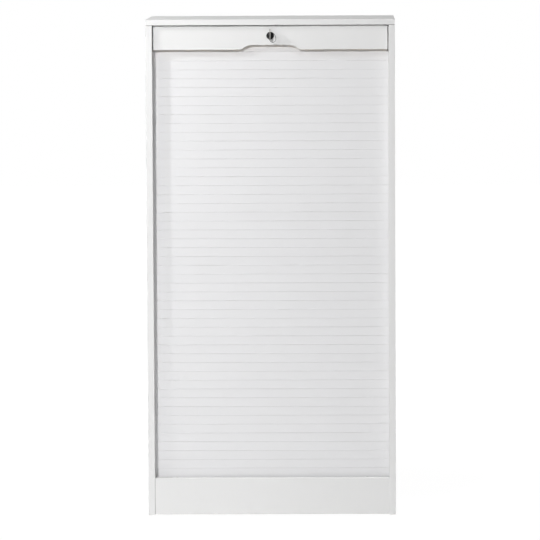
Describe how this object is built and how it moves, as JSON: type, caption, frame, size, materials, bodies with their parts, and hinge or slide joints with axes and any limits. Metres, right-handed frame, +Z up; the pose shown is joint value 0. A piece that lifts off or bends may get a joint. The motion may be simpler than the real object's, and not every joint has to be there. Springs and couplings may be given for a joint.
{
  "type": "tambour door cabinet",
  "caption": "Tall free-standing white storage cabinet closed by a slatted tambour curtain that slides down behind the plinth, with a notched handle bar, a key lock and shelves.",
  "frame": {"origin": "on the floor, at the middle of the carcass footprint", "axes": "+Z up, +X to the right seen from the front, +Y from the front to the back, so the door faces -Y"},
  "size_m": [0.7, 0.4144, 1.404],
  "materials": {
    "white_melamine": "satin white melamine-faced chipboard with white edge banding",
    "white_pvc": "satin white extruded PVC",
    "white_hardboard": "hardboard with a smooth white lacquered face",
    "brown_hardboard": "raw brown hardboard with a fine mesh-pressed back",
    "beech": "fluted raw beech",
    "zinc": "die-cast zinc",
    "bright_steel": "zinc-plated steel",
    "white_nylon": "moulded white nylon",
    "clear_soft_plastic": "soft translucent polyurethane",
    "black_lock": "black coated die-cast metal",
    "nickel": "nickel-plated brass"
  },
  "bodies": {
    "cabinet": {"left_side_panel": "white_melamine", "right_side_panel": "white_melamine", "top_panel": "white_melamine", "bottom_panel": "white_melamine", "fixed_shelf": "white_melamine", "lower_shelf": "white_melamine", "upper_shelf": "white_melamine", "front_plinth": "white_melamine", "base_rail": "white_melamine", "inner_back_panel": "white_hardboard", "back_panel": "brown_hardboard", "wood_dowels": "beech", "cam_bolts": "bright_steel", "cam_discs": "zinc", "shelf_pins": "bright_steel", "back_screws": "bright_steel", "floor_glides": "white_nylon", "plinth_buffers": "clear_soft_plastic", "strike_bracket": "bright_steel", "strike_screws": "bright_steel", "curtain_slats": "white_pvc"},
    "curtain_bar": {"handle_bar": "white_melamine", "curtain_strip": "white_pvc", "strip_screws": "bright_steel", "left_runner": "white_nylon", "right_runner": "white_nylon", "runner_screws": "bright_steel", "lock_housing": "black_lock", "lock_nut": "bright_steel"},
    "lock_core": {"lock_plug": "black_lock", "lock_cam": "bright_steel", "cam_screw": "bright_steel"},
    "key": {"key": "nickel"},
    "key_ring": {"key_ring": "bright_steel"}
  },
  "joints": [
    {"name": "curtain_slide", "type": "slide", "parent": "cabinet", "child": "curtain_bar", "axis": [0, 0, -1], "range_m": [0, 1.2085], "deforming": ["curtain_slats"]},
    {"name": "key_turn", "type": "hinge", "parent": "curtain_bar", "child": "lock_core", "pos_m": [0, -0.187, 1.358], "axis": [0, 1, 0], "range_deg": [0, 90]},
    {"name": "key_pull", "type": "slide", "parent": "lock_core", "child": "key", "axis": [0, -1, 0], "range_m": [0, 0.03]},
    {"name": "ring_swing", "type": "hinge", "parent": "key", "child": "key_ring", "pos_m": [0, -0.2025, 1.368], "axis": [-1, 0, 0], "range_deg": [0, 25]}
  ]
}
